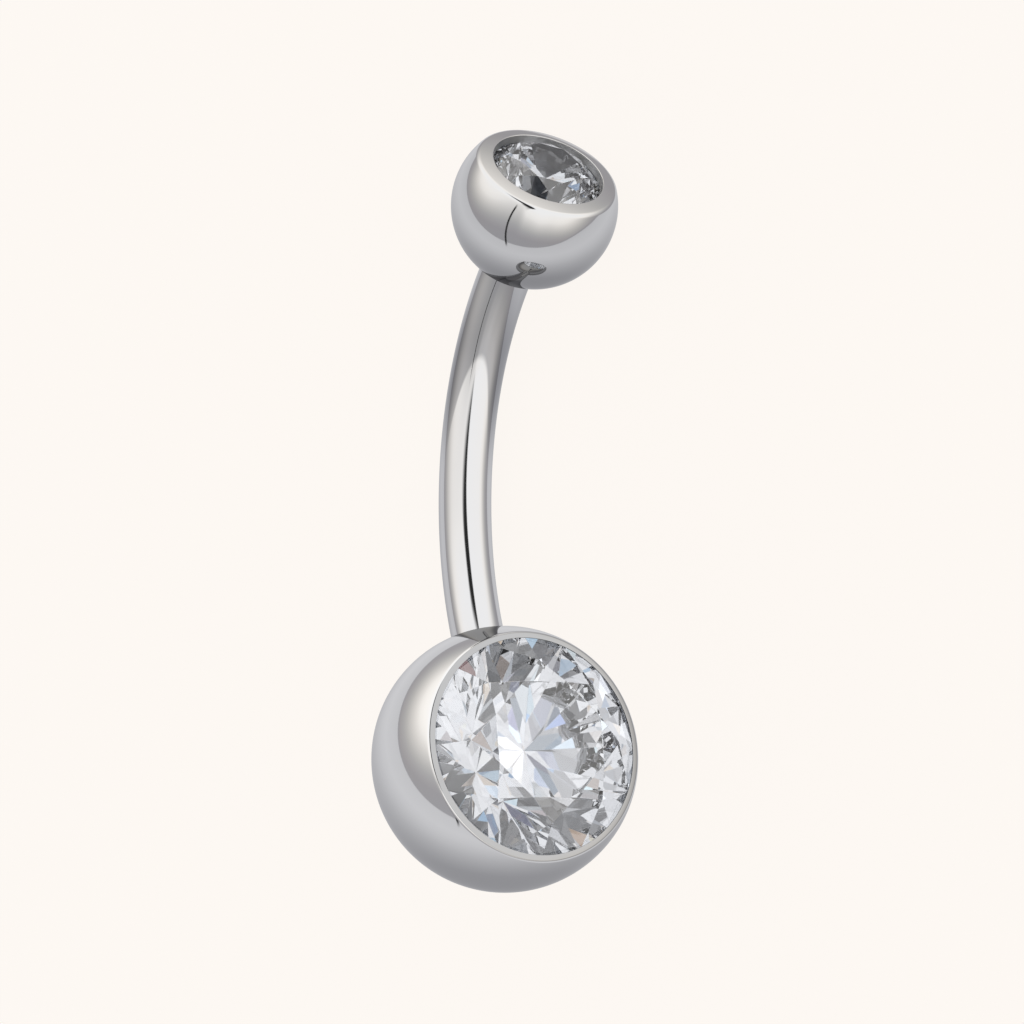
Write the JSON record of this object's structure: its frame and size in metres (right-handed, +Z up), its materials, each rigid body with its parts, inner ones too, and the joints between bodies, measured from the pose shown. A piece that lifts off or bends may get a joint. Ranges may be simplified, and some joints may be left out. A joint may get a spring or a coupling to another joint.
{
  "type": "navel ring",
  "caption": "Curved bar navel ring with a fixed large ball and a smaller screw-on ball, each holding a round clear stone in a smooth rim.",
  "frame": {"origin": "centre of the ring's box, on the surface that it lies on", "axes": "+X from the large ball towards the small ball along the surface, +Z up, and the large stone faces -Y and up"},
  "size_m": [0.0228, 0.0078, 0.008],
  "materials": {
    "bar_steel": "polished",
    "ball_steel": "polished",
    "clear_stone": "polished, faceted"
  },
  "bodies": {
    "barbell": {"bar": "bar_steel", "large_ball": "ball_steel", "large_stone": "clear_stone"},
    "top_ball": {"small_ball": "ball_steel", "small_stone": "clear_stone"}
  },
  "joints": [
    {"name": "top_ball_unscrews", "type": "slide", "parent": "barbell", "child": "top_ball", "axis": [0.8191, -0.4658, 0.3348], "range_m": [0, 0.003]}
  ]
}
